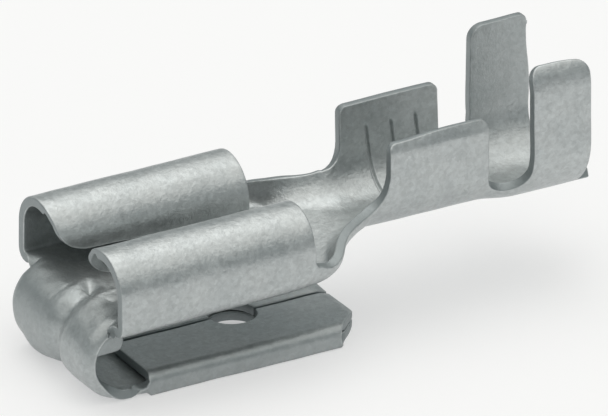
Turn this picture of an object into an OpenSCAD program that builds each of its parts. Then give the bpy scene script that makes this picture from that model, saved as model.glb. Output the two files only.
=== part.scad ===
// Piggyback female spade terminal, 6.3 mm series, open crimp barrels, tin-plated brass.
// One strip of sheet, stamped and folded: receptacle, folded male tab below it, neck,
// wire crimp, insulation crimp. Worked out with X = 0 at the mouth, +X towards the wire,
// Z = 0 under the receptacle floor, and then stood on the tab's flat underside.

/* [Sheet] */
// Thickness of the strip
sheet_t = 0.4; // [0.35:0.01:0.42]

/* [Receptacle] */
// Length from the mouth to the back of the rolls
rec_length = 8.2; // [7.6:0.1:9]
// Width over both side walls
rec_width = 8.24; // [8:0.02:8.6]
// Height from the floor's underside to the top of the rolls
rec_height = 3.13; // [3.05:0.01:3.3]
// Outer radius of each roll
roll_r = 1.55; // [1.5:0.01:1.6]
// Clear height between the floor and the rolls' free edges
slot_gap = 0.95; // [0.85:0.05:1.1]
// Outer radius where the floor turns up into a side wall
wall_r = 0.6; // [0.45:0.05:0.8]
// Length of the lead-in cut on each roll's front corner
lead_in = 1.4; // [0.6:0.05:1.6]

/* [Male tab] */
// Width of the tab
tab_width = 6.3; // [6.1:0.05:6.4]
// Distance from the mouth to the tab's tip
tab_reach = 11.1; // [10:0.05:11.5]
// Distance from the mouth to the front edge of the folded flaps
flap_start = 1.77; // [1.5:0.01:2.2]
// 45 degree chamfer on each corner of the tip
tab_chamfer = 1.27; // [1:0.01:1.5]
// Diameter of the latch hole
tab_hole_d = 1.9; // [1.6:0.05:2]
// Distance from the tip to the centre of the latch hole
tab_hole_back = 4.15; // [3.8:0.05:4.3]
// Width of the seam between the two flaps
seam_gap = 0.14; // [0.1:0.02:0.3]
// Corner radius of the tab's folded edges
fold_r = 0.32; // [0.2:0.02:0.38]

/* [Bend] */
// Outer radius of the bend that joins the floor to the tab
bend_r = 1.725; // [1.65:0.005:1.8]
// Distance from the mouth to the axis of the bend
bend_x = 0.75; // [0.6:0.01:0.9]
// Depth of the stiffening groove round the bend
groove_depth = 0.3; // [0.1:0.02:0.36]
// Width of the stiffening groove
groove_width = 1.7; // [1.2:0.1:2]

/* [Wire crimp] */
// Distance from the mouth to the front of the wings
wire_start = 12.55; // [12.4:0.05:12.8]
// Length of the wings
wire_length = 4.25; // [4:0.05:4.3]
// Width over the wings
wire_width = 4.4; // [4.2:0.1:4.6]
// Height of the wings' tips above the floor's underside
wire_height = 4.3; // [3.8:0.05:4.6]
// Height of the barrel's underside above the floor's
wire_raise = 0.34; // [0.2:0.02:0.5]
// Number of serration grooves
serrations = 3; // [0:1:4]

/* [Insulation crimp] */
// Distance from the mouth to the front of the wings
ins_start = 18.55; // [18.5:0.05:18.9]
// Length of the wings
ins_length = 2.5; // [2.2:0.05:2.8]
// Width over the wings
ins_width = 5.4; // [5.2:0.1:5.8]
// Height of the wings' tips above the floor's underside
ins_height = 6.25; // [5.6:0.05:6.6]
// Height of the barrel's underside above the floor's
ins_raise = 0.2; // [0.1:0.02:0.4]

/* [Hidden] */
$fn = 64;
eps = 0.01;
t = sheet_t;
tab_z = t - 2 * bend_r;
tab_top = tab_z + 2 * t;
bend_z = t - bend_r;
roll_y = rec_width / 2 - roll_r;
roll_z = rec_height - roll_r;
edge_z = t + slot_gap;
wire_end = wire_start + wire_length;
ins_end = ins_start + ins_length;
hole_x = tab_reach - tab_hole_back;
// The strap's edges curl inwards round the bend, as they will fold over on the tab.
curl_r = 0.55;
curl_turn = 75;
curl_y = tab_width / 2 - curl_r;
// The groove runs this far into the floor before it ends in a round
groove_run = 0.2;
// Gusset where the strap's edges leave the side walls
gusset_drop = 0.92;
gusset_x = 0.62;
// Neck: low side walls that sweep in from the receptacle to the wire barrel
neck_wall = 0.95;
neck_in_from = 8.8;
neck_in_to = 12.1;
// Between the two crimps the floor spreads, and its walls are notched
spread_from = wire_end + 0.12;
spread_to = ins_start - 0.12;
notch_bottom = 1.32;
notch_r = (ins_start - wire_end) / 2;
// Serration grooves across the inside of the wire barrel
serration_first = 1.1;
serration_pitch = 1.12;
serration_w = 0.2;
serration_depth = 0.09;
serration_top = 3.45;
// Stub left where the terminal was cut from its carrier strip
stub_width = 1.7;
stub_length = 0.9;
x_front = bend_x - bend_r;
x_back = ins_end + stub_length;
arc_n = 9;

function smooth(a, b, x) = let (u = min(1, max(0, (x - a) / (b - a)))) u * u * (3 - 2 * u);
function mix(a, b, k) = a + (b - a) * k;
function arc(cx, cy, r, from, to, n = arc_n) =
    [for (i = [0:n]) let (a = mix(from, to, i / n)) [cx + r * cos(a), cy + r * sin(a)]];
function flip(points) = [for (i = [len(points) - 1:-1:0]) [-points[i][0], points[i][1]]];
function back(points) = [for (i = [len(points) - 1:-1:0]) points[i]];

// ---------- receptacle ----------

// Half of the receptacle's section: wall, roll over the top, flap down to its free edge
module roll_section() {
    polygon(concat([[0, 0]], u_half(rec_length, roll_z), [[0, t]]));
    translate([roll_y, roll_z]) half_ring(roll_r);
    translate([roll_y - roll_r, edge_z]) square([t, roll_z - edge_z + eps]);
}

// Upper half of a ring as thick as the sheet
module half_ring(r) {
    intersection() {
        difference() {
            circle(r = r);
            circle(r = r - t);
        }
        translate([-r - 1, -eps]) square([2 * r + 2, r + 1]);
    }
}

// Front corners of the rolled flaps, cut back so that a tab finds its way in
module lead_in_cut() {
    reach_y = roll_y - 0.56 * roll_r;
    top = roll_z + 0.67;
    rotate([90, 0, 0])
        linear_extrude(height = 2 * reach_y, center = true)
            polygon(concat([[-1, edge_z - 0.3], [lead_in, edge_z - 0.3], [lead_in, edge_z]],
                [for (i = [1:arc_n]) let (u = i / arc_n)
                    [lead_in * pow(1 - u, 1.5), mix(edge_z, top, u)]],
                [[-1, top]]));
}

module receptacle() {
    difference() {
        rotate([90, 0, 90]) linear_extrude(height = rec_length) {
            roll_section();
            mirror([1, 0]) roll_section();
        }
        lead_in_cut();
        // The strap takes over from the floor at the bend's axis
        translate([-1, -tab_width / 2, -1]) cube([bend_x + 1, tab_width, 2]);
        groove_start(0);
    }
    difference() {
        intersection() {
            groove_start(t);
            translate([bend_x, -2, -1]) cube([2, 4, 1 + t / 2]);
        }
        groove_start(0);
    }
}

// ---------- bend and male tab ----------

// Round start of the groove in the floor, or the outside of its bulge with skin = t
module groove_start(skin) {
    r = (pow(0.36 * groove_width, 2) + pow(groove_depth, 2)) / (2 * groove_depth);
    translate([bend_x + groove_run, 0, t + r - groove_depth]) sphere(r = r + skin);
}

// Depth of the groove below the strap's outer face, at a distance y from the middle
function groove(y) = abs(y) < groove_width / 2 ? groove_depth * pow(cos(180 * y / groove_width), 2) : 0;

// Strap section, as [depth below the outer face, distance from the middle]
function strap_outer(n = 12) = concat(
    [for (i = [0:n]) let (y = i / n * groove_width / 2) [groove(y), y]],
    [for (i = [0:arc_n]) let (a = curl_turn * i / arc_n)
        [curl_r * (1 - cos(a)), curl_y + curl_r * sin(a)]]);
function strap_inner(n = 12) = concat(
    [for (i = [0:n]) let (y = i / n * groove_width / 2) [groove(y) + t, y]],
    [for (i = [0:arc_n]) let (a = curl_turn * i / arc_n)
        [curl_r - (curl_r - t) * cos(a), curl_y + (curl_r - t) * sin(a)]]);
function strap_mirror(points) = [for (i = [len(points) - 1:-1:1]) [points[i][0], -points[i][1]]];
function strap_whole() = concat(strap_mirror(strap_outer()), strap_outer(),
    back(strap_inner()), back(strap_mirror(strap_inner())));

// The section laid on its side, with the outer face at a distance r from the axis
module strap_section(r) {
    polygon([for (p = strap_whole()) [r - p[0], p[1]]]);
}

module bend() {
    translate([bend_x, 0, bend_z])
        rotate([90, 0, 0])
            rotate([0, 0, 90])
                rotate_extrude(angle = 180) strap_section(bend_r);
}

// Straight run of the strap, from the bend to the front of the folded flaps
module strap_run() {
    translate([bend_x, 0, bend_z])
        rotate([0, 90, 0])
            linear_extrude(height = flap_start - bend_x + eps) strap_section(bend_r);
}

// Webs at the strap's root, where its curled edges run out under the floor
module gussets() {
    for (side = [-1, 1])
        translate([0, side * (tab_width / 2 - t / 2), 0])
            rotate([90, 0, 0])
                linear_extrude(height = t, center = true)
                    intersection() {
                        translate([bend_x, bend_z]) circle(r = bend_r - 0.28);
                        union() {
                            translate([x_front, -gusset_drop]) square([gusset_x - 0.3 - x_front, 2]);
                            translate([gusset_x - 0.6, -gusset_drop + 0.3]) square([0.6, 2]);
                            translate([gusset_x - 0.3, -gusset_drop + 0.3]) circle(r = 0.3);
                        }
                    }
}

// Two layers of sheet with folded edges and a seam between the upper flaps
module tab_section() {
    half = tab_width / 2 - fold_r;
    difference() {
        union() {
            translate([-half, tab_z]) square([2 * half, 2 * t]);
            translate([-tab_width / 2, tab_z + fold_r]) square([tab_width, 2 * (t - fold_r)]);
            for (side = [-1, 1])
                for (z = [tab_z + fold_r, tab_top - fold_r])
                    translate([side * half, z]) circle(r = fold_r);
        }
        translate([-seam_gap / 2, tab_z + t]) square([seam_gap, t + 1]);
    }
}

module tab() {
    half = tab_width / 2;
    tip = half - tab_chamfer;
    difference() {
        intersection() {
            translate([flap_start, 0, 0])
                rotate([90, 0, 90])
                    linear_extrude(height = tab_reach - flap_start) tab_section();
            translate([0, 0, tab_z - 1])
                linear_extrude(height = 2 * t + 2)
                    polygon([[flap_start, -half], [tab_reach - tab_chamfer, -half],
                        [tab_reach, -tip], [tab_reach, tip],
                        [tab_reach - tab_chamfer, half], [flap_start, half]]);
            // Tip bevelled above and below
            rotate([90, 0, 0])
                linear_extrude(height = tab_width + 2, center = true)
                    polygon([[0, tab_z], [tab_reach - 0.4, tab_z], [tab_reach, tab_z + 0.13],
                        [tab_reach, tab_top - 0.13], [tab_reach - 0.4, tab_top], [0, tab_top]]);
        }
        translate([hole_x, 0, tab_z - 1]) cylinder(d = tab_hole_d, h = 2 * t + 2);
    }
}

// ---------- neck and crimp barrels ----------

// Half width, underside height and corner radius of the U section at a distance x
function half_width(x) = x < wire_end
    ? mix(rec_width / 2, wire_width / 2, smooth(neck_in_from, neck_in_to, x))
    : mix(wire_width / 2, ins_width / 2, smooth(spread_from, spread_to, x));
function underside(x) = x < wire_end
    ? wire_raise * smooth(rec_length, neck_in_to - 0.6, x)
    : mix(wire_raise, ins_raise, smooth(spread_from, spread_to, x));
function corner(x) = mix(wall_r, half_width(x) - 0.12, smooth(rec_length, neck_in_to - 0.8, x));

// Height of the neck's side walls, rising to the foot of the wire wings
function neck_edge(x) = mix(neck_wall, 1.7, smooth(8.8, wire_start - 0.4, x));

// Half of the U section, from its middle up the outside, and back down the inside
function u_half(x, top) = let (w = half_width(x), z = underside(x), r = corner(x)) concat(
    arc(w - r, z + r, r, -90, 0), [[w, top]], [[w - t, top]],
    arc(w - r, z + r, r - t, 0, -90));
function u_ring(x, top) = concat(u_half(x, top), flip(u_half(x, top)));

stations = concat([rec_length - 0.3],
    [for (i = [0:12]) mix(rec_length, neck_in_to, i / 12)],
    [for (i = [0:6]) mix(spread_from, spread_to, i / 6)],
    [ins_end + 1]);

// Closed skin through the U sections at all stations
module u_trough() {
    top = ins_height + 1;
    rings = [for (x = stations) u_ring(x, top)];
    m = len(rings[0]);
    k = len(stations);
    polyhedron(
        points = [for (i = [0:k - 1]) for (p = rings[i]) [stations[i], p[0], p[1]]],
        faces = concat(
            [for (i = [0:k - 2]) for (j = [0:m - 1]) let (n = (j + 1) % m)
                [i * m + j, (i + 1) * m + j, (i + 1) * m + n, i * m + n]],
            [[for (j = [0:m - 1]) j], [for (j = [m - 1:-1:0]) (k - 1) * m + j]]));
}

// Side view of the neck walls, both pairs of wings and the notch between them
module side_outline() {
    polygon(concat(
        [[rec_length - 1, -1], [rec_length - 1, neck_wall], [9.2, neck_wall]],
        [for (i = [1:6]) let (x = mix(9.2, wire_start - 0.85, i / 6)) [x, neck_edge(x)]],
        arc(wire_start - 0.85, neck_edge(wire_start - 0.85) + 0.8, 0.8, -70, -4),
        arc(wire_start + 0.3, wire_height - 0.3, 0.3, 180, 90, 4),
        arc(wire_end - 0.35, wire_height - 0.35, 0.35, 90, 0, 5),
        arc(wire_end + notch_r, notch_bottom + notch_r, notch_r, 180, 360, 14),
        arc(ins_start + 0.4, ins_height - 0.4, 0.4, 180, 90, 5),
        arc(ins_end - 0.6, ins_height - 0.6, 0.6, 90, 0, 6),
        [[ins_end, -1]]));
}

// Outside of a wing's tip, coined to a bevel from height z up
module tip_bevel(x, length, half, z, tip) {
    for (side = [0, 1])
        mirror([0, side, 0])
            translate([x, 0, 0])
                rotate([90, 0, 90])
                    linear_extrude(height = length)
                        polygon([[half, z], [half + 1, z], [half + 1, tip + 1],
                            [half - 0.26, tip + 1], [half - 0.26, tip]]);
}

// One serration groove, as deep as asked into the inside of the wire barrel
module serration(x) {
    w = wire_width / 2 - t;
    floor_z = wire_raise + t;
    translate([x - serration_w / 2, 0, 0])
        rotate([90, 0, 90])
            linear_extrude(height = serration_w) {
                translate([0, floor_z + w]) circle(r = w + serration_depth);
                translate([-w - serration_depth, floor_z + w])
                    square([2 * (w + serration_depth), serration_top - floor_z - w]);
            }
}

// Strip of the barrel's curved underside, left standing out at the back
module stub() {
    r = ins_width / 2;
    intersection() {
        translate([ins_end - 0.3, 0, ins_raise + r])
            rotate([0, 90, 0]) difference() {
                cylinder(r = r, h = stub_length + 0.3);
                translate([0, 0, -1]) cylinder(r = r - t, h = stub_length + 3);
            }
        translate([ins_end - 0.3, -stub_width / 2, 0]) cube([stub_length + 0.3, stub_width, r]);
    }
}

module barrels() {
    difference() {
        intersection() {
            u_trough();
            rotate([90, 0, 0])
                linear_extrude(height = 2 * rec_width, center = true) side_outline();
        }
        tip_bevel(wire_start - 1, wire_length + 2, wire_width / 2, wire_height - 0.34, wire_height);
        tip_bevel(ins_start - 0.5, ins_length + 1, ins_width / 2, ins_height - 0.85, ins_height);
        for (i = [0:1:serrations - 1]) serration(wire_start + serration_first + i * serration_pitch);
    }
    stub();
}

module terminal() {
    color("silver")
        translate([-(x_front + x_back) / 2, 0, -tab_z]) {
            receptacle();
            bend();
            strap_run();
            gussets();
            tab();
            barrels();
        }
}

terminal();
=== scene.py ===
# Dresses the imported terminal: one folded strip of tin-plated sheet, drawn as a flat blank
# and folded by formula. Lengths are millimetres until add_mesh. On the flat blank u runs along
# the strip and s across it, far side positive. x, y, z are measured from the receptacle's mouth.
import math

import bpy
import numpy as np
from mathutils import Matrix, Vector
from mathutils.geometry import delaunay_2d_cdt


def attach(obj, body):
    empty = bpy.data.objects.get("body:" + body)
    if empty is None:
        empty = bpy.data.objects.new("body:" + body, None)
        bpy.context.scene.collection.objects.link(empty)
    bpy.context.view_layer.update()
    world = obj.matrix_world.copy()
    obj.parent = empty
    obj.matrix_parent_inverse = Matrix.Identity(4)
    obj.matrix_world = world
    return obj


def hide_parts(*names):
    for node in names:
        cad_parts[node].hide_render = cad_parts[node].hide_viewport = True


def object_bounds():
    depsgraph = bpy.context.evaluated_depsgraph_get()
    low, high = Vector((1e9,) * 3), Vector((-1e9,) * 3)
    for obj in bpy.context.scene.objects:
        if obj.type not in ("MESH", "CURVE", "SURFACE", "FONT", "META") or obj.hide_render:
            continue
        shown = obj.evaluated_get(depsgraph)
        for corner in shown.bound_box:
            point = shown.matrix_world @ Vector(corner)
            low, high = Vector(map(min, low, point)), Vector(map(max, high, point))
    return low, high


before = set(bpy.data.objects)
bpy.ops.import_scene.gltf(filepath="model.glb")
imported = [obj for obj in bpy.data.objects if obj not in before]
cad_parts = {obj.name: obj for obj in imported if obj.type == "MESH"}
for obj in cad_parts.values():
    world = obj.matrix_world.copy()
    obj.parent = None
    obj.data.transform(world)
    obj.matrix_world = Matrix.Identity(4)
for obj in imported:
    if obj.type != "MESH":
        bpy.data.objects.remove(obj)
cad_low, cad_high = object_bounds()
MM = 0.001

# ---------------------------------------------------------------- sizes
T = 0.4                                 # sheet
H = T / 2
REC_L, REC_W, REC_H = 8.2, 8.24, 3.13   # receptacle
ROLL = 1.55 - H                         # roll radius at mid thickness
ROLL_Z = REC_H - 1.55
ROLL_END = REC_L + 0.08
LEAD_X, LEAD_Z = 1.5, 2.45              # centre of the elliptical lead-in of the rolls
LEAD_A, LEAD_B = 1.4, 1.09
BEND_X, BEND_R = 0.75, 1.725
BM = BEND_R - H                         # bend radius at mid thickness
BEND_Z = T - BEND_R
U_TAB = BEND_X - math.pi * BM           # strip coordinate where the bend ends
STRAP_S = 3.08                          # half width of the strap, flat
RUN_OUT = 0.4                           # from the strap's edge to the wall's front end
TAB_W, TAB_REACH, TAB_CHAMFER = 6.4, 11.1, 1.27
HOLE_X, HOLE_R = TAB_REACH - 4.15, 0.95
FLAP_X = 1.77                           # front edge of the tab's flaps
FOLD_RHO = H + 0.05                     # the flaps spring back a little from the lower layer
FOLD_S = TAB_W / 2 - H - FOLD_RHO       # where the tab's fold begins on the blank
FOLD_L = FOLD_RHO * math.pi
SEAM = 0.07                             # half the gap between the flaps
WIRE_0, WIRE_1, WIRE_W, WIRE_Z = 12.55, 16.85, 4.4, 0.40
INS_0, INS_1, INS_W, INS_Z = 18.55, 21.07, 5.4, 0.26
NOTCH_0, NOTCH_1, NOTCH_Z = 16.92, 18.43, 1.32
STUB_1 = 21.94
SERRATIONS = (13.79, 14.87, 15.94)
SERRATION_TOP = 3.1
EDGE_ROUND = 0.065                      # on the sheared edges
SHIFT = np.array([cad_low.x / MM - (BEND_X - BEND_R), 0.0, -(T - 2 * BEND_R)])


def smooth(a, b, x):
    k = np.clip((x - a) / (b - a), 0, 1)
    return k * k * (3 - 2 * k)


def mix(a, b, k):
    return a + (b - a) * k


def curve(x, *stations):
    """Smooth curve through (position, value) stations, level beyond both ends."""
    kx, ky = np.array(stations, float).T
    m = np.gradient(ky, kx)
    m[0] = m[-1] = 0
    x = np.clip(x, kx[0], kx[-1])
    i = np.clip(np.searchsorted(kx, x) - 1, 0, len(kx) - 2)
    h = kx[i + 1] - kx[i]
    t = (x - kx[i]) / h
    return (ky[i] + (ky[i + 1] - ky[i]) * t * t * (3 - 2 * t)
            + h * t * (1 - t) * (m[i] * (1 - t) - m[i + 1] * t))


# ---------------------------------------------------------------- U section: walls, neck, barrels
def half_width(x):
    front = curve(x, (8.5, REC_W / 2), (9.0, 4.09), (9.5, 3.83), (10.0, 3.22), (10.5, 2.83),
                  (11.0, 2.58), (11.5, 2.38), (12.1, WIRE_W / 2))
    return mix(front, INS_W / 2, smooth(NOTCH_0, NOTCH_1, x))


def underside(x):
    front = WIRE_Z * smooth(REC_L, 11.5, x)
    return mix(front, INS_Z, smooth(NOTCH_0, NOTCH_1, x))


def corner(x):
    """Outer radius between floor and wall."""
    front = curve(x, (0.5, 0.5), (4.0, 0.7), (8.2, 1.02), (9.0, 1.22), (9.6, 1.32), (10.0, 1.45),
                  (10.5, 1.62), (11.0, 1.8), (11.5, 1.96), (12.1, 2.08))
    return mix(front, half_width(x) - 0.12, smooth(11.6, 12.2, x))


def neck_edge(x):
    """Height of the neck's edge."""
    return curve(x, (8.3, 1.13), (8.55, 1.11), (8.8, 1.03), (9.0, 0.99), (9.2, 1.02), (9.5, 1.17),
                 (10.0, 1.42), (10.5, 1.57), (11.0, 1.63), (11.5, 1.71), (11.9, 1.82))


def u_lengths(x):
    """Half width, underside, corner radius, and s where corner, wall and roll begin."""
    w, z, r = half_width(x), underside(x), corner(x)
    s1 = w - r
    s2 = s1 + (r - H) * math.pi / 2
    s3 = s2 + ROLL_Z - z - r
    return w, z, r, s1, s2, s3


def u_section(x, s):
    """Mid-sheet (y, z) at strip length s from the middle."""
    w, z, r, s1, s2, s3 = u_lengths(x)
    rm = r - H
    a = np.clip((s - s1) / rm, 0, math.pi / 2)
    y = np.minimum(s, s1) + rm * np.sin(a)
    h = z + H + rm * (1 - np.cos(a)) + np.clip(s - s2, 0, None)
    rolled = (x < REC_L + 0.3) & (s > s3)
    b = np.clip((s - s3) / ROLL, 0, math.pi)
    y = np.where(rolled, w - H - ROLL * (1 - np.cos(b)), y)
    h = np.where(rolled, ROLL_Z + ROLL * np.sin(b) - np.clip(s - s3 - math.pi * ROLL, 0, None), h)
    return y, h


def s_at(x, z):
    """Strip length at which the U section's mid line reaches height z."""
    _, zu, r, s1, s2, _ = u_lengths(x)
    rm = r - H
    a = np.arccos(np.clip(1 - (z - zu - H) / rm, -1, 1))
    return np.where(z < zu + r, s1 + rm * a, s2 + (z - zu - r))


def s_in_roll(x, z):
    """The same on the rolled flap's inner side, going down to its free edge."""
    s3 = u_lengths(x)[5]
    b = math.pi - np.arcsin(np.clip((z - ROLL_Z) / ROLL, 0, 1))
    return s3 + ROLL * b + np.clip(ROLL_Z - z, 0, None)


# ---------------------------------------------------------------- strap, bend and folded tab
def along(u):
    """Middle line of the strap: x, z, and its outward normal."""
    th = np.clip((BEND_X - u) / BM, 0, math.pi)
    x = BEND_X - BM * np.sin(th) + np.clip(u - BEND_X, 0, None) + np.clip(U_TAB - u, 0, None)
    z = BEND_Z + BM * np.cos(th)
    return x, z, -np.sin(th), np.cos(th)


def tab_x(u):
    """x on the tab from the strip's u, and back: the formula is its own inverse."""
    return BEND_X + U_TAB - u


def strap_shape(u):
    """Fold radius and fold angle of the strap's edges."""
    folding = np.where(u < U_TAB, smooth(0.95, FLAP_X - 0.06, tab_x(u)), 0.0)
    rho = mix(0.35, FOLD_RHO, folding)
    curl = mix(8, 82, smooth(U_TAB + 0.1, U_TAB + 1.7, u)) * (1 - smooth(-0.7, 0.8, u))
    return rho, np.radians(mix(curl, 181.8, folding))


def groove(u, s):
    """Depth of the strap's groove, with the crown of the lobes beside it taken off."""
    middle = curve(u, (-4.0, 0.0), (-2.6, -0.2), (-1.4, -0.42), (-0.3, -0.5), (0.5, -0.32), (1.1, 0.0))
    depth = curve(u, (-4.7, 0.0), (-4.0, 0.14), (-3.4, 0.32), (-2.8, 0.44), (-2.1, 0.38), (-1.3, 0.28),
                  (-0.4, 0.24), (0.3, 0.25), (0.75, 0.34), (1.05, 0.2), (1.4, 0.0))
    valley = np.cos(np.clip(np.abs(s - middle) / 0.8, 0, 1) * math.pi / 2) ** 2
    crown = np.sin(np.clip((np.abs(s) - 0.4) / 2.6, 0, 1) * math.pi) ** 2
    turn = np.degrees((BEND_X - u) / BM)
    taken = curve(turn, (15, 0.0), (45, 0.08), (75, 0.03), (98, -0.03), (118, 0.12), (145, 0.2), (174, 0.0))
    return depth * valley - crown * np.where(s > 0, taken, 0.25 * np.maximum(taken, 0))


def strap_section(u, s):
    """(y, height over the middle line) at strip length s."""
    rho, turn = strap_shape(u)
    y0 = TAB_W / 2 - H - rho
    a = np.clip((s - y0) / rho, 0, turn)
    rest = np.clip(s - y0 - rho * turn, 0, None)
    y = np.minimum(s, y0) + rho * np.sin(a) + rest * np.cos(turn)
    n = -rho * (1 - np.cos(a)) - rest * np.sin(turn)
    return y, n


def set_by_hand(u, z, far):
    """How far walls and wings stand off their ideal section: outward and upward."""
    wire = smooth(11.6, 12.7, u) * (1 - smooth(17.0, 18.4, u))
    ins = smooth(17.3, 18.5, u)
    curl = 0.08 * smooth(2.5, 5.0, z) + 0.28 * (np.clip(z - 5.0, 0, 1.3) / 1.2) ** 2
    out = np.where(far, 0.06 * wire * smooth(1.6, 4.3, z), -ins * curl)
    up = mix(-0.06, 0.03, np.clip(u / REC_L, 0, 1)) * smooth(1.2, 2.6, z) * (u < REC_L + 0.3)
    return out, up


def fold(u, s):
    """Mid-sheet point of the folded strip. The floor's corner runs out into the strap's edge."""
    side, m = np.sign(s), np.abs(s)
    yu, zu = u_section(np.maximum(u, -1.0), m)
    out, up = set_by_hand(u, zu, s > 0)
    yu, zu = yu + out, zu + up - groove(np.maximum(u, 0.0), s)
    yb, nb = strap_section(u, m)
    nb = nb - groove(u, s)
    cx, cz, nx, nz = along(u)
    away = smooth(2.9, 3.6, m)
    k = smooth(mix(0.05, -1.2, away), mix(BEND_X + 0.05, -0.02, away), u)
    k = np.where(u < -1.25, 0.0, k)
    k = np.where((m < 2.6) & (u < BEND_X), 0.0, k)
    x = mix(cx + nx * nb, u, k)
    y = mix(yb, yu, k)
    z = mix(cz + nz * nb, zu, k)
    return np.stack([x, y * side, z], -1)


# ---------------------------------------------------------------- small irregularities
def waves(p, seed, size):
    """Smooth pseudo-random height in about -1..1, from a few crossed sines."""
    rng = np.random.RandomState(seed)
    total = np.zeros(p.shape[:-1])
    for _ in range(7):
        k = rng.normal(size=3)
        k *= 2 * math.pi / size / np.linalg.norm(k) * rng.uniform(0.6, 1.6)
        total += np.sin(p @ k + rng.uniform(0, 6.28))
    return total / 4


def wobble(p, u):
    """Slow waves of a hundredth or two, the same on both faces, more at the bend."""
    more = 1 + 1.2 * smooth(U_TAB - 0.3, U_TAB + 0.5, u) * (1 - smooth(0.8, 1.6, u))
    return more * (0.010 * waves(p, 3, 3.2) + 0.006 * waves(p, 8, 1.3))


def spot(u, s, cu, cs, ru, rs):
    """Soft round patch, 1 in its middle."""
    return np.exp(-((u - cu) / ru) ** 2 - ((s - cs) / rs) ** 2)


def stroke(u, s, p, q, w):
    """Soft stroke of width w from p to q, 1 along its middle."""
    p, q = np.array(p), np.array(q)
    d = q - p
    k = np.clip(((u - p[0]) * d[0] + (s - p[1]) * d[1]) / (d @ d), 0, 1)
    away = np.hypot(u - p[0] - k * d[0], s - p[1] - k * d[1])
    return 1 - smooth(0.3 * w, w, away)


def tool_marks(u, s):
    """Height of the press marks on the strap and at the start of its groove."""
    rough = 0.02 * waves(np.stack([u, s, 0 * u], -1), 21, 0.9)
    h = rough * smooth(-0.9, -0.3, -np.abs(u + 0.1))
    for start, end, width, height in (((-0.52, 0.66), (0.45, 0.5), 0.06, -0.035),
                                      ((0.1, -0.05), (0.42, 0.12), 0.07, 0.03),
                                      ((0.42, 0.12), (0.62, -0.15), 0.07, 0.03),
                                      ((0.75, -0.95), (1.5, -0.75), 0.09, 0.035),
                                      ((0.85, -1.25), (1.0, -1.6), 0.05, -0.03)):
        h = h + height * stroke(u, s, start, end, width)
    h = h - 0.05 * spot(u, s, 0.95, -0.1, 0.3, 0.28)
    h = h - 0.06 * spot(u, s, 0.85, -1.5, 0.28, 0.3)
    return np.where((np.abs(s) < 2.9) & (u < 2.2) & (u > -3), h, 0)


# ---------------------------------------------------------------- faces of the sheet
def hollow_face(u, s, z):
    """Height of the U's hollow side over mid-sheet; it turns outside at the bend and the tab."""
    m = np.abs(s)
    h = np.full(u.shape, H)
    for x in SERRATIONS:                 # across the inside of the wire barrel
        slant = 0.1 * np.clip(SERRATION_TOP - z, 0, 0.9)
        cut = 0.15 * (1 - smooth(0.035, 0.085, np.abs(u - x - slant)))
        h = h - cut * (1 - smooth(0, 0.2, m - s_at(u, np.full(u.shape, SERRATION_TOP))))
    # lead-in: the rolled flap's front corner is coined
    dip = np.clip((LEAD_Z - np.clip(z, LEAD_Z - LEAD_B, LEAD_Z)) / LEAD_B, 0, 1)
    x_lead = LEAD_X - LEAD_A * np.sqrt(1 - dip * dip)
    flap = (m > u_lengths(u)[5] + ROLL * math.pi * 0.62) & (u < 4)
    h = h - np.where(flap, 0.18 * (1 - smooth(0.0, 0.6, u - x_lead)), 0)
    # folded edge of the tab: its lower corner is pressed nearly square
    rho, turn = strap_shape(u)
    a = np.clip((m - (TAB_W / 2 - H - rho)) / rho, 0, math.pi / 2)
    square = (np.cos(a) ** 14 + np.sin(a) ** 14) ** (-1 / 14) - 1
    pressed = (rho + H) * square * smooth(150, 178, np.degrees(turn))
    h = h + np.where(u < U_TAB - 0.9, pressed, 0)
    # the tab's tip is bevelled
    bevel = 0.13 * smooth(TAB_REACH - 0.45, TAB_REACH + 0.05, tab_x(u))
    h = h - np.where(u < U_TAB - 1, bevel, 0)
    return h + tool_marks(u, s)


def outer_face(u, s, z):
    """Height of the U's outer side over mid-sheet, negative."""
    far = s > 0
    h = np.full(u.shape, -H)
    wire = (u > WIRE_0 - 0.3) & (u < WIRE_1 + 0.4)
    h = h + np.where(wire, np.where(far, 0.12, 0.25) * smooth(3.92, 4.6, z), 0)
    for x in SERRATIONS:                 # they show faintly through
        for dx in (-0.12, 0.1):
            d = np.abs(u - x - dx - 0.24 * (z - 2))
            h = h - 0.02 * (1 - smooth(0.02, 0.12, d)) * smooth(0.9, 1.5, z) * (1 - smooth(2.5, 3.2, z))
    k = np.clip((z - 5.25) / 1.08, 0, 0.95)
    tip = np.where(far, 0.2, 0.26) * (1 - np.sqrt(1 - k * k))
    return h + np.where(u > INS_0 - 0.2, tip, 0)


def faces_at(u, s):
    """Heights of both faces over mid-sheet."""
    z = u_section(u, np.abs(s))[1]
    return hollow_face(u, s, z), outer_face(u, s, z)


def middle(u, s, step=1e-3):
    """Mid-sheet points and their normals, toward the U's hollow side."""
    p = fold(u, s)
    du = fold(u + step, s) - fold(u - step, s)
    ds = fold(u, s + step) - fold(u, s - step)
    n = np.cross(du, ds)
    n /= np.linalg.norm(n, axis=-1, keepdims=True) + 1e-12
    return p + n * wobble(p, u)[..., None], n


# ---------------------------------------------------------------- outline of the flat blank
def line(p, q, step=0.12):
    p, q = np.array(p, float), np.array(q, float)
    n = max(1, int(math.ceil(np.linalg.norm(q - p) / step)))
    return [tuple(p + (q - p) * i / n) for i in range(n)]


def path(points, step=0.12):
    out = []
    for p, q in zip(points, points[1:]):
        out += line(p, q, step)
    return out + [tuple(points[-1])]


def arc(cx, cy, r, a0, a1, n):
    turns = [math.radians(mix(a0, a1, i / n)) for i in range(n + 1)]
    return [(cx + r * math.cos(a), cy + r * math.sin(a)) for a in turns]


def signed_area(p):
    q = np.roll(p, -1, 0)
    return 0.5 * np.sum(p[:, 0] * q[:, 1] - q[:, 0] * p[:, 1])


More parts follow.
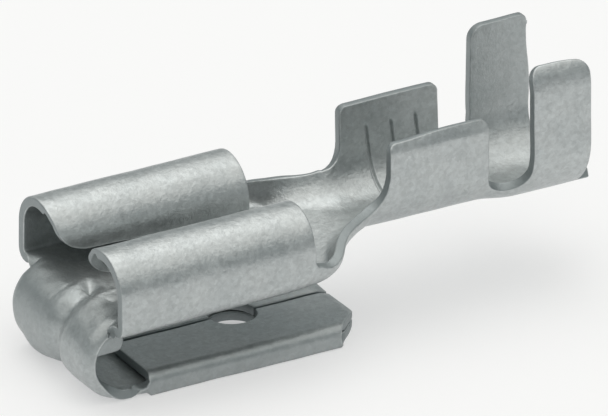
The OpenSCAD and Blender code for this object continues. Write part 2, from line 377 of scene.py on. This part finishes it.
def outward(p):
    """Outward normals of a loop that has material on its left."""
    d = np.roll(p, -1, 0) - p
    d /= np.linalg.norm(d, axis=1, keepdims=True)
    t = d + np.roll(d, 1, 0)
    t /= np.linalg.norm(t, axis=1, keepdims=True)
    return np.stack([t[:, 1], -t[:, 0]], -1)


def tab_outline():
    """Tip, folded edge, seam with half the latch hole, and the flap's front edge."""
    tip_y = TAB_W / 2 - TAB_CHAMFER
    u_tip, u_hole, u_flap = tab_x(TAB_REACH), tab_x(HOLE_X), tab_x(FLAP_X)
    s_top = 2 * FOLD_S + FOLD_L             # the tab's middle line, on the flap
    end = s_top - SEAM

    def chamfer_u(y):
        return tab_x(TAB_REACH - max(0.0, y - tip_y))

    pts = [(u_tip, 0)] + line((u_tip, 0.12), (u_tip, tip_y - 0.12))
    pts += [(u_tip + 0.015, tip_y - 0.03), (chamfer_u(tip_y + 0.08) + 0.01, tip_y + 0.08)]
    pts += [(chamfer_u(y), y) for y in np.linspace(tip_y + 0.18, FOLD_S, 12)]
    pts += [(chamfer_u(FOLD_S + 0.36 * math.sin(math.pi * k)), FOLD_S + FOLD_L * k)
            for k in np.linspace(0, 1, 14)[1:-1]]
    pts += [(chamfer_u(y), s_top - y) for y in np.linspace(FOLD_S, tip_y + 0.18, 12)]
    pts += [(chamfer_u(tip_y + 0.08) + 0.01, s_top - tip_y - 0.08), (u_tip + 0.015, s_top - tip_y + 0.03)]
    pts += path([(u_tip, s_top - tip_y + 0.12), (u_tip, end - 0.05)])
    # seam
    reach = math.sqrt(HOLE_R ** 2 - SEAM ** 2)
    first = math.asin(SEAM / HOLE_R) + math.radians(2)
    pts += path([(u_tip + 0.05, end), (u_hole - reach - 0.04, end)])
    pts += [(u_hole - HOLE_R * math.cos(a), s_top - HOLE_R * math.sin(a))
            for a in np.linspace(first, math.pi - first, 22)]
    pts += path([(u_hole + reach + 0.04, end), (u_flap - 0.12, end - 0.02)])
    # front edge of the flap
    pts += [(u_flap - 0.03, end - 0.06)]
    pts += path([(u_flap, end - 0.14), (u_flap + 0.02, 4.4), (u_flap + 0.05, STRAP_S + 0.35)])
    return pts + [(u_flap + 0.1, STRAP_S + 0.15), (u_flap + 0.22, STRAP_S + 0.03)]


def receptacle_outline():
    """Strap's edge, run-out, wall's front end, lead-in, and the roll's free and rear edges."""
    pts = path([(tab_x(FLAP_X) + 0.35, STRAP_S), (-RUN_OUT - 0.1, STRAP_S)], 0.1)
    pts += [(-RUN_OUT + RUN_OUT * math.sin(k), STRAP_S + RUN_OUT * (1 - math.cos(k)))
            for k in np.linspace(0, math.pi / 2, 15)[:-1]]
    quarter = np.linspace(0, math.pi / 2, 17)
    x, z = LEAD_X - LEAD_A * np.cos(quarter), LEAD_Z - LEAD_B * np.sin(quarter)
    lead = [(px, float(s_in_roll(np.array(px), np.array(pz)))) for px, pz in zip(x, z)]
    s_0, s_free = lead[0][1], lead[-1][1]
    pts += path([(0.0, STRAP_S + RUN_OUT), (0.0, s_0 - 1.0), (0.015, s_0 - 0.6), (0.045, s_0 - 0.3)])
    pts += lead + path([(1.62, s_free), (ROLL_END - 0.15, s_free)]) + [(ROLL_END - 0.04, s_free - 0.04)]
    s_neck = float(s_at(np.array(ROLL_END), np.array(1.13)))
    pts += path([(ROLL_END, s_free - 0.15), (ROLL_END, s_neck + 0.25)])
    return pts + [(ROLL_END + 0.02, s_neck + 0.13), (ROLL_END + 0.07, s_neck + 0.04)]


def barrel_profile(far):
    """Neck's edge, short wing, notch and tall wing as seen from the side, (x, z)."""
    pts = [(x, float(neck_edge(x))) for x in np.arange(ROLL_END + 0.17, 11.75, 0.1)]
    if far:
        x0, x1, top, arch, ins_dx = 12.62, 16.93, 4.28, 0.05, 0.06
        pts += [(11.88, 1.79), (12.11, 1.85), (12.3, 1.95), (12.44, 2.09), (12.54, 2.28), (12.6, 2.5),
                (12.62, 2.75)]
    else:
        x0, x1, top, arch, ins_dx = WIRE_0, WIRE_1, 4.36, 0.12, 0.0
        pts += [(11.8, 1.8), (11.98, 1.9), (12.13, 2.03), (12.27, 2.2), (12.38, 2.4), (12.46, 2.62),
                (12.52, 2.87)]
    pts += [(x0, z) for z in np.linspace(3.05, top - 0.38, 9)]
    pts += arc(x0 + 0.3, top - 0.3, 0.3, 178, 95, 6)
    pts += [(x, top + arch * float(smooth(x0 + 0.2, 15.4, x))) for x in np.arange(x0 + 0.42, x1 - 0.42, 0.12)]
    pts += arc(x1 - 0.33, top + arch - 0.33, 0.33, 86, 4, 6)
    x2 = x1 + 0.03
    pts += [(mix(x1, x2, k), mix(top - 0.45, 2.35, k)) for k in np.linspace(0, 1, 14)]
    r = (INS_0 - x2) / 2
    pts += arc(x2 + r, NOTCH_Z + r, r, 178, 362, 30)
    pts += [(INS_0 + ins_dx, z) for z in np.linspace(2.45, 5.3, 26)]
    if far:                              # with a small burr at the rear corner
        pts += arc(INS_0 + 0.66, 5.5, 0.6, 178, 92, 9)
        pts += [(x, mix(6.1, 6.14, (x - 19.3) / 1.4)) for x in np.arange(INS_0 + 0.81, INS_1 - 0.4, 0.13)]
        pts += arc(INS_1 - 0.28, 5.84, 0.3, 80, 4, 5)
        pts += [(INS_1 + 0.05, 5.82), (INS_1 + 0.06, 5.74), (INS_1 + 0.02, 5.66), (INS_1 + 0.01, 5.5)]
        rear = [(INS_1 + 0.01 + 0.17 * float(smooth(5.4, 3.2, z)), z) for z in np.linspace(5.4, 2.9, 22)]
    else:
        pts += arc(INS_0 + 0.52, 5.72, 0.52, 178, 92, 8)
        pts += [(x, 6.24 - 0.06 * float(smooth(19.7, 20.9, x)))
                for x in np.arange(INS_0 + 0.65, INS_1 - 0.68, 0.13)]
        pts += arc(INS_1 - 0.58, 5.6, 0.58, 82, 4, 9)
        rear = [(INS_1, z) for z in np.linspace(5.4, 2.9, 22)]
    return pts + rear


def half_outline(far):
    """One long edge of the blank, from the middle of the tab's tip to the middle of the stub."""
    x, z = np.array(barrel_profile(far)).T
    pts = tab_outline() + receptacle_outline() + list(zip(x, s_at(x, z)))
    x_rear, s_rear = pts[-1]
    stub = 0.85 if far else 1.15
    pts += path([(x_rear, s_rear - 0.12), (INS_1 + 0.02, 2.2), (INS_1, stub + 0.15)])
    pts += [(INS_1 + 0.04, stub + 0.04)]
    pts += path([(INS_1 + 0.15, stub), (STUB_1 - 0.1, stub - 0.03)])
    pts += [(STUB_1 - 0.02, stub - 0.1)]
    return np.array(pts + path([(STUB_1, stub - 0.2), (STUB_1, 0)]))


OUTER = np.concatenate([half_outline(True), half_outline(False)[1:-1][::-1] * [1, -1]])
if signed_area(OUTER) < 0:
    OUTER = OUTER[::-1]
ring = np.linspace(0, 2 * math.pi, 56, endpoint=False)
HOLE = np.stack([tab_x(HOLE_X) + HOLE_R * np.cos(ring), HOLE_R * np.sin(ring)], -1)[::-1]

# Rounded sheared edge: (inset, share of the half thickness, on the cut face)
PROFILE = []
for side in (1, -1):
    for degrees in ((90, 68, 45, 22, 0) if side > 0 else (0, 22, 45, 68, 90)):
        a = math.radians(degrees)
        PROFILE.append((EDGE_ROUND * (1 - math.cos(a)), side * (1 - EDGE_ROUND / H * (1 - math.sin(a))),
                        degrees < 30))


# ---------------------------------------------------------------- mesh of the sheet
def spaced(knots):
    """Positions from (start, end, step) stretches."""
    out = []
    for a, b, step in knots:
        n = max(1, int(round((b - a) / step)))
        out += [a + (b - a) * i / n for i in range(n)]
    return np.array(out + [knots[-1][1]])


def inside(p, loop):
    x, y = p[:, 0:1], p[:, 1:2]
    a, b = loop, np.roll(loop, -1, 0)
    hit = np.zeros(len(p), bool)
    for i in range(0, len(p), 4000):
        X, Y = x[i:i + 4000], y[i:i + 4000]
        c = (a[:, 1] > Y) != (b[:, 1] > Y)
        t = (Y - a[:, 1]) / np.where(b[:, 1] == a[:, 1], 1e-9, b[:, 1] - a[:, 1])
        c &= X < a[:, 0] + t * (b[:, 0] - a[:, 0])
        hit[i:i + 4000] = c.sum(1) % 2 == 1
    return hit


def clearance(p, loop):
    out = np.empty(len(p))
    d = np.roll(loop, -1, 0) - loop
    length = np.maximum((d ** 2).sum(1), 1e-12)
    for i in range(0, len(p), 2000):
        q = p[i:i + 2000, None, :] - loop[None]
        k = np.clip((q * d).sum(2) / length, 0, 1)
        out[i:i + 2000] = np.sqrt(((q - k[..., None] * d) ** 2).sum(2)).min(1)
    return out


# (u from, to, step) and the (s from, to, step) stretches of its grid, finest where it bends most
ZONES = [((-14.4, -5.1, 0.17), [(0, 2.6, 0.2), (2.6, 3.65, 0.035), (3.65, 6.4, 0.2)]),
         ((-5.02, 1.45, 0.08), [(0, 2.5, 0.09), (2.5, 4.3, 0.055), (4.3, 9.7, 0.13)]),
         ((1.6, 8.1, 0.22), [(0, 3.0, 0.25), (3.0, 4.5, 0.08), (4.5, 9.7, 0.12)]),
         ((8.2, 13.5, 0.12), [(0, 5.7, 0.12)]),
         ((13.53, 16.35, 0.032), [(0, 5.7, 0.13)]),
         ((16.45, 22, 0.14), [(0, 7.6, 0.13)])]


def build_blank():
    """Flat triangles inside the outline, and the indices of the two border loops."""
    inner = OUTER - outward(OUTER) * EDGE_ROUND
    hole_in = HOLE - outward(HOLE) * EDGE_ROUND
    grid = []
    for us, ss in ZONES:
        half = spaced(ss)
        both = np.concatenate([-half[:0:-1], half])
        grid.append(np.array(np.meshgrid(spaced([us]), both, indexing="ij")).reshape(2, -1).T)
    g = np.concatenate(grid)
    g = g[inside(g, inner) & ~inside(g, hole_in)]
    g = g[np.minimum(clearance(g, inner), clearance(g, hole_in)) > 0.035]
    n_o, n_h = len(inner), len(hole_in)
    pts = np.concatenate([inner, hole_in, g])
    edges = [(i, (i + 1) % n_o) for i in range(n_o)]
    edges += [(n_o + i, n_o + (i + 1) % n_h) for i in range(n_h)]
    v, _, f, origins, _, _ = delaunay_2d_cdt([Vector(p) for p in pts], edges, [list(range(n_o))], 1, 1e-5)
    v = np.array([(p.x, p.y) for p in v])
    f = np.array([t for t in f if len(t) == 3])
    f = f[~inside(v[f].mean(1), hole_in)]
    new = {k: i for i, group in enumerate(origins) for k in group}
    return v, f, [new[i] for i in range(n_o)], [new[n_o + i] for i in range(n_h)]


def painted_shade_mask(u, s):
    """Painted shade, darker and rougher: the tab's folded edge, the bend (most on its far lobe), the strap's
    crown, and the far tall wing higher up.
    """
    m = np.abs(s)
    end = FOLD_S + FOLD_L
    edge = (u < U_TAB - 0.6) * smooth(FOLD_S - 0.1, FOLD_S + 0.15, m) * (1 - smooth(end - 0.2, end + 0.05, m))
    bend = smooth(U_TAB - 0.5, U_TAB + 0.8, u) * (1 - smooth(0.3, 1.3, u))
    lobe = bend * (0.3 + 0.7 * smooth(-0.4, 0.8, s))
    crown = smooth(-2.4, -1.0, u) * (1 - smooth(1.0, 2.0, u))
    wing = (u > INS_0 - 0.3) * (s > 0) * smooth(1.8, 3.2, u_section(u, m)[1])
    return 0.5 * edge + 0.45 * lobe + 0.22 * crown + 0.38 * wing


def sheet_mesh():
    """Both faces and the rounded edges between them; cut is 1 on sheared metal and holds the painted shade on
    the hollow face.
    """
    v, f, ring_outer, ring_hole = build_blank()
    u, s = v[:, 0], v[:, 1]
    p, normal = middle(u, s)
    n = len(v)
    verts = [p + normal * h[:, None] for h in faces_at(u, s)]
    # the hollow face's cut value is painted shade; the outer face gets none
    cut = [painted_shade_mask(u, s), np.zeros(n)]
    faces = [tuple(t) for t in f] + [(t[0] + n, t[2] + n, t[1] + n) for t in f]
    count = 2 * n
    for loop, border in ((OUTER, ring_outer), (HOLE, ring_hole)):
        m = len(loop)
        rows = [list(border)]
        for inset, share, sheared in PROFILE[1:-1]:
            q = loop - outward(loop) * inset
            p, normal = middle(q[:, 0], q[:, 1])
            high, low = faces_at(q[:, 0], q[:, 1])
            verts.append(p + normal * ((high + low) / 2 + (high - low) / 2 * share)[:, None])
            cut.append(np.full(m, float(sheared)))
            rows.append(list(range(count, count + m)))
            count += m
        rows.append([i + n for i in border])
        for r0, r1 in zip(rows, rows[1:]):
            faces += [(r0[i], r1[i], r1[(i + 1) % m], r0[(i + 1) % m]) for i in range(m)]
    return np.concatenate(verts), faces, np.concatenate(cut)


def add_mesh(name, verts, faces, cut):
    me = bpy.data.meshes.new(name)
    me.from_pydata([tuple(p * MM) for p in verts + SHIFT], [], [tuple(int(i) for i in f) for f in faces])
    me.validate()
    # cut marks the sheared edges and also carries the painted shade
    at = me.attributes.new("cut", "FLOAT", "POINT")
    at.data.foreach_set("value", np.asarray(cut, np.float32))
    me.polygons.foreach_set("use_smooth", np.ones(len(me.polygons), bool))
    me.update()
    ob = bpy.data.objects.new(name, me)
    bpy.context.collection.objects.link(ob)
    return ob


def web(name, side):
    """Plate with rounded edges between the strap's curled edge and the floor; it is painted darker all over,
    painted shade at the root.
    """
    y_in, thick, edge_r = 2.76, 0.36, 0.12
    r = BEND_R - 0.3
    low, high = math.acos((-0.92 - BEND_Z) / r), math.asin((BEND_X - 0.55) / r)
    pts = [(BEND_X - r * math.sin(a), BEND_Z + r * math.cos(a)) for a in np.linspace(low, high, 14)]
    pts += [(0.6, 0.1), (0.62, -0.1), (0.62, -0.3)] + arc(0.27, -0.57, 0.35, 0, -90, 9)
    pts += [(0.05, -0.93), (-0.2, -0.94), (-0.4, -0.95)]
    loop = np.array(pts)
    if signed_area(loop) < 0:
        loop = loop[::-1]
    layers = [(edge_r, y_in)]
    for y, direction, turns in ((y_in + edge_r, -1, (60, 30, 0)),
                                (y_in + thick - edge_r, 1, (0, 30, 60, 90))):
        for a in np.radians(turns):
            layers.append((edge_r * (1 - math.cos(a)), y + direction * edge_r * math.sin(a)))
    m = len(loop)
    verts, faces = [], []
    for inset, y in layers:
        q = loop - outward(loop) * inset
        verts.append(np.stack([q[:, 0], np.full(m, y * side), q[:, 1]], -1))
    for k in range(len(layers) - 1):
        for i in range(m):
            j = (i + 1) % m
            faces.append((k * m + i, k * m + j, (k + 1) * m + j, (k + 1) * m + i))
    last = (len(layers) - 1) * m
    faces += [tuple(range(m))[::-1], tuple(range(last, last + m))]
    if side > 0:
        faces = [f[::-1] for f in faces]
    # cut 0.7 all over: painted shade of the root, not sheared metal
    return add_mesh(name, np.concatenate(verts), faces, np.full(m * len(layers), 0.7))


pieces = [add_mesh("sheet", *sheet_mesh()), web("web_far", 1), web("web_near", -1)]


# ---------------------------------------------------------------- tin plate
def make_node(tree, kind, inputs=(), **settings):
    """New node with its settings and its inputs; an input is a value or another node's output."""
    n = tree.nodes.new(kind)
    for k, v in settings.items():
        setattr(n, k, v)
    for k, v in dict(inputs).items():
        if isinstance(v, bpy.types.NodeSocket):
            tree.links.new(v, n.inputs[k])
        else:
            n.inputs[k].default_value = v
    return n


def set_ramp(ramp, stops):
    el = ramp.color_ramp.elements
    while len(el) < len(stops):
        el.new(0.5)
    for e, (position, colour) in zip(el, stops):
        e.position, e.color = position, (*colour, 1)


def tin_plate():
    mat = bpy.data.materials.new("tin_plate")
    mat.use_nodes = True
    tree = mat.node_tree
    tree.nodes.clear()

    def node(kind, inputs=(), **settings):
        return make_node(tree, kind, inputs, **settings)

    def noise(scale, detail, rough=0.55, distortion=0.0):
        return node("ShaderNodeTexNoise", {"Vector": point, "Scale": scale, "Detail": detail,
                                           "Roughness": rough, "Distortion": distortion}).outputs["Fac"]

    def ramp(source, *stops):
        r = node("ShaderNodeValToRGB", {0: source})
        set_ramp(r, [(p, c if isinstance(c, tuple) else (c, c, c)) for p, c in stops])
        return r.outputs[0]

    def calc(operation, a, b):
        return node("ShaderNodeMath", {0: a, 1: b}, operation=operation).outputs[0]

    def times(a, b):
        return node("ShaderNodeMix", {"Factor": 1.0, "A": a, "B": b},
                    data_type="RGBA", blend_type="MULTIPLY").outputs["Result"]

    # texture space in millimetres
    point = node("ShaderNodeMapping", {"Vector": node("ShaderNodeTexCoord").outputs["Object"],
                                       "Scale": (1000, 1000, 1000)}).outputs[0]
    blotch = noise(0.9, 3, 0.5, 0.4)
    grain = noise(4.2, 4, 0.65, 0.3)
    speck = noise(14.0, 3, 0.6)
    # spangle: the crystals of the tin coat differ a little in brightness
    warp = node("ShaderNodeTexNoise", {"Vector": point, "Scale": 3.0}).outputs["Color"]
    shift = node("ShaderNodeVectorMath", {0: warp, "Scale": 0.35}, operation="SCALE").outputs[0]
    moved = node("ShaderNodeVectorMath", {0: point, 1: shift}, operation="ADD").outputs[0]
    cells = node("ShaderNodeTexVoronoi", {"Vector": moved, "Scale": 6.5}).outputs["Color"]
    crystal = node("ShaderNodeSeparateColor", {0: cells}).outputs[0]

    cut = node("ShaderNodeAttribute", attribute_name="cut").outputs["Fac"]
    colour = ramp(blotch, (0.3, (0.525, 0.558, 0.56)), (0.7, (0.6, 0.63, 0.628)))
    colour = times(colour, ramp(crystal, (0.0, 0.86), (1.0, 1.0)))
    colour = times(colour, ramp(grain, (0.34, 0.84), (0.66, 1.0)))
    # darker bare colour: real on sheared edges, painted shade where the hollow face and the webs are marked
    cut_edge_and_painted_shade = node("ShaderNodeMix", {"Factor": calc("MULTIPLY", cut, 0.85), "A": colour,
                                  "B": (0.27, 0.30, 0.305, 1)}, data_type="RGBA").outputs["Result"]
    rough = calc("ADD", ramp(blotch, (0.3, 0.30), (0.7, 0.37)),
                 calc("MULTIPLY", ramp(grain, (0.3, 0.0), (0.75, 1.0)), 0.08))
    rough = calc("ADD", rough, calc("MULTIPLY", cut, 0.15))
    height = calc("ADD", calc("MULTIPLY", grain, 1.0), calc("MULTIPLY", speck, 0.35))
    bump = node("ShaderNodeBump", {"Strength": 0.6, "Distance": 0.00004, "Height": height}).outputs[0]
    bsdf = node("ShaderNodeBsdfPrincipled",
                {"Metallic": 0.82, "Base Color": cut_edge_and_painted_shade, "Roughness": rough, "Normal": bump})
    node("ShaderNodeOutputMaterial", {0: bsdf.outputs[0]})
    return mat


tin = tin_plate()
for ob in pieces:
    ob.data.materials.append(tin)
    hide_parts("terminal")
    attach(ob, "root")


# ---------------------------------------------------------------- floor, light, camera
def make_floor(reach=2.0, drop=0.00002, glow=0.45):
    """Pale plane; a part of it glows for what looks straight at it or mirrors it."""
    me = bpy.data.meshes.new("floor")
    me.from_pydata([(-reach, -reach, 0), (reach, -reach, 0), (reach, reach, 0), (-reach, reach, 0)],
                   [], [(0, 1, 2, 3)])
    ob = bpy.data.objects.new("floor", me)
    bpy.context.collection.objects.link(ob)
    ob.location.z = cad_low.z - drop
    mat = bpy.data.materials.new("floor")
    mat.use_nodes = True
    tree = mat.node_tree
    plain = tree.nodes["Principled BSDF"]
    plain.inputs["Base Color"].default_value = (0.92, 0.92, 0.92, 1)
    plain.inputs["Roughness"].default_value = 0.9
    ray = tree.nodes.new("ShaderNodeLightPath").outputs
    seen = ray["Is Camera Ray"]
    for other in ("Is Glossy Ray", "Is Transmission Ray"):
        seen = make_node(tree, "ShaderNodeMath", {0: seen, 1: ray[other]}, operation="MAXIMUM").outputs[0]
    part = make_node(tree, "ShaderNodeMath", {0: seen, 1: glow}, operation="MULTIPLY").outputs[0]
    white = make_node(tree, "ShaderNodeEmission").outputs[0]
    mixed = make_node(tree, "ShaderNodeMixShader", {0: part, 1: plain.outputs[0], 2: white}).outputs[0]
    tree.links.new(mixed, tree.nodes["Material Output"].inputs[0])
    me.materials.append(mat)
    return ob


def make_world():
    """Soft studio: a bright ceiling that falls off to a cooler, darker horizon."""
    world = bpy.data.worlds.new("world")
    bpy.context.scene.world = world
    world.use_nodes = True
    tree = world.node_tree
    direction = tree.nodes.new("ShaderNodeTexCoord").outputs["Generated"]
    height = make_node(tree, "ShaderNodeSeparateXYZ", {0: direction}).outputs["Z"]
    share = make_node(tree, "ShaderNodeMapRange", {0: height, "From Min": -1, "From Max": 1}).outputs[0]
    ramp = make_node(tree, "ShaderNodeValToRGB", {0: share})
    stops = []
    for position, level in ((0.0, 0.8), (0.475, 0.30), (0.65, 0.34), (0.75, 0.55), (0.825, 1.0),
                            (0.9, 1.35), (1.0, 1.4)):
        cool = min(1, max(0, (1 - level) / 0.6))
        stops.append((position, (level * mix(1.01, 0.9, cool), level, level * mix(0.97, 1.02, cool))))
    set_ramp(ramp, stops)
    background = tree.nodes["Background"]
    tree.links.new(ramp.outputs[0], background.inputs["Color"])
    background.inputs["Strength"].default_value = 0.9


def make_overhead(place=(0.03, 0.06, 0.25), aim=(0, 0, 0.004), size=0.2, power=0.075):
    lamp = bpy.data.lights.new("overhead", "AREA")
    lamp.shape, lamp.size, lamp.energy = "DISK", size, power
    ob = bpy.data.objects.new("overhead", lamp)
    bpy.context.collection.objects.link(ob)
    ob.location = place
    ob.rotation_euler = (Vector(aim) - Vector(place)).to_track_quat("-Z", "Y").to_euler()


def make_camera():
    """A long lens, from the front of the near side."""
    azimuth, elevation, roll = (math.radians(d) for d in (-29.331, 26.084, 0.228))
    distance = 408.718                   # from the point it looks at
    back = Vector((math.sin(azimuth) * math.cos(elevation), -math.cos(azimuth) * math.cos(elevation),
                   math.sin(elevation)))
    level = Vector((math.cos(azimuth), math.sin(azimuth), 0))
    upright = back.cross(level)
    right = level * math.cos(roll) + upright * math.sin(roll)
    up = upright * math.cos(roll) - level * math.sin(roll)
    data = bpy.data.cameras.new("camera")
    data.sensor_width = 36
    data.lens = 640.9954
    data.shift_x, data.shift_y = 0.0397401, 0.0272188
    data.clip_start, data.clip_end = 0.05, 5
    ob = bpy.data.objects.new("camera", data)
    bpy.context.collection.objects.link(ob)
    aim = Vector((9, 0, 1)) + Vector(SHIFT)
    turn = Matrix((right, up, back)).transposed().to_4x4()
    ob.matrix_world = Matrix.Translation((aim + back * distance) * MM) @ turn
    return ob


make_floor()
make_world()
make_overhead()
scene = bpy.context.scene
scene.camera = make_camera()
scene.view_settings.view_transform = "Standard"
